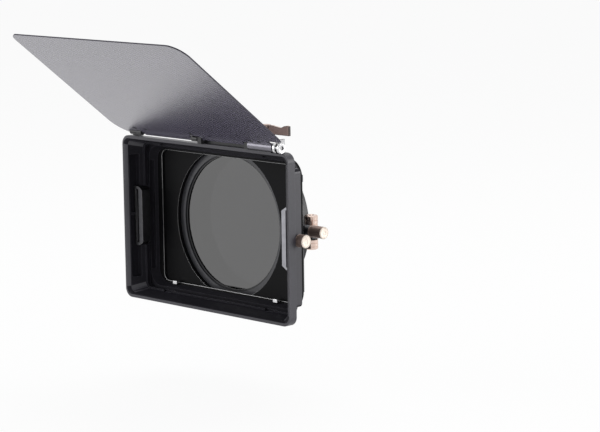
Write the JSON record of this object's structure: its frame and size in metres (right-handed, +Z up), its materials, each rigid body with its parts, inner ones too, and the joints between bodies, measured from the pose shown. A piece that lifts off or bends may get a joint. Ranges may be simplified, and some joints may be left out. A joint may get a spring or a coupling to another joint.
{
  "type": "matte box",
  "caption": "Clamp-on matte box: rectangular hood, carbon top flag on a tension hinge, side flag brackets, slide-out geared round filter and split lens clamp.",
  "frame": {"origin": "on the lens axis, at the rear face of the lens clamp ring", "axes": "+Y along the lens axis towards the lens and camera, so the hood opens towards -Y; +Z up; +X to the side with the drive knob"},
  "size_m": [0.182, 0.1489, 0.1977],
  "materials": {
    "hood_plastic": "fine matt texture, moulded",
    "black_metal": "black anodised, satin",
    "steel": "bright, polished",
    "grey_metal": "clear anodised, satin",
    "bronze": "bronze anodised, knurled",
    "pale_bronze": "bronze, polished",
    "carbon": "fine carbon twill under a satin coat",
    "glass": "neutral grey coated filter glass"
  },
  "bodies": {
    "hood": {"hood_shell": "hood_plastic", "opening_frame": "black_metal", "filter_housing": "black_metal", "housing_cover": "black_metal", "clamp_ring": "black_metal", "clamp_nut": "pale_bronze", "hinge_base": "black_metal", "left_lug": "black_metal", "left_pin": "steel", "centre_pin": "steel", "tension_bolt": "steel", "tension_washer": "hood_plastic", "tension_collar": "steel", "lever_stem": "steel", "flag_bracket_left": "black_metal", "screw_bush_left": "black_metal", "frame_clip_left": "steel", "flag_bracket_right": "black_metal", "screw_bush_right": "black_metal", "frame_clip_right": "steel", "cover_screw_1": "steel", "cover_screw_2": "steel", "cover_screw_3": "steel", "cover_screw_4": "steel", "ring_screw_1": "steel", "ring_screw_2": "steel", "ring_screw_3": "steel", "base_screw_1": "steel", "base_screw_2": "steel"},
    "flag": {"flag_panel": "carbon", "left_knuckle": "black_metal", "centre_knuckle": "black_metal", "flag_barrel": "grey_metal", "flag_screw_1": "steel", "flag_screw_2": "steel", "flag_screw_3": "steel", "flag_screw_4": "steel", "flag_screw_5": "steel"},
    "lever": {"lock_lever": "bronze"},
    "tray": {"filter_tray": "hood_plastic", "snap_ring": "steel", "drive_bush": "black_metal"},
    "rotor": {"filter_rotor": "black_metal", "filter_glass": "glass", "retaining_ring": "black_metal"},
    "drive": {"drive_shaft": "steel", "drive_knob": "bronze"},
    "thumb_left": {"thumbscrew_left": "bronze"},
    "thumb_right": {"thumbscrew_right": "bronze"},
    "grip_left": {"clamp_plate_left": "black_metal"},
    "grip_right": {"clamp_plate_right": "black_metal"},
    "clamp": {"clamp_screw": "pale_bronze"}
  },
  "joints": [
    {"name": "flag_tilt", "type": "hinge", "parent": "hood", "child": "flag", "pos_m": [0, -0.05168, 0.0626], "axis": [1, 0, 0], "range_deg": [-45, 127.5]},
    {"name": "lever_turn", "type": "hinge", "parent": "hood", "child": "lever", "pos_m": [0.057, -0.0447, 0.07], "axis": [0, 0, 1], "range_deg": [0, 90]},
    {"name": "tray_slide", "type": "slide", "parent": "hood", "child": "tray", "axis": [1, 0, 0], "range_m": [0, 0.11]},
    {"name": "filter_turn", "type": "hinge", "parent": "tray", "child": "rotor", "pos_m": [0, -0.021, 0], "axis": [0, 1, 0], "continuous": true},
    {"name": "drive_turn", "type": "hinge", "parent": "tray", "child": "drive", "pos_m": [0.07, -0.0157, 0.001], "axis": [1, 0, 0], "continuous": true},
    {"name": "thumb_left_turn", "type": "hinge", "parent": "hood", "child": "thumb_left", "pos_m": [-0.083, -0.04025, -0.001], "axis": [1, 0, 0], "range_deg": [0, 720]},
    {"name": "thumb_right_turn", "type": "hinge", "parent": "hood", "child": "thumb_right", "pos_m": [0.083, -0.04025, -0.001], "axis": [-1, 0, 0], "range_deg": [0, 720]},
    {"name": "grip_left_slide", "type": "slide", "parent": "hood", "child": "grip_left", "axis": [1, 0, 0], "range_m": [0, 0.001]},
    {"name": "grip_right_slide", "type": "slide", "parent": "hood", "child": "grip_right", "axis": [-1, 0, 0], "range_m": [0, 0.001]},
    {"name": "clamp_screw_turn", "type": "hinge", "parent": "hood", "child": "clamp", "pos_m": [0.0604, -0.0052, 0], "axis": [0, 0, -1], "range_deg": [0, 720]}
  ],
  "couplings": [
    {"joint": "drive_turn", "follows": "filter_turn", "ratio": 12},
    {"joint": "grip_left_slide", "follows": "thumb_left_turn", "m_per_rad": 0.000079498},
    {"joint": "grip_right_slide", "follows": "thumb_right_turn", "m_per_rad": 0.000079498}
  ]
}
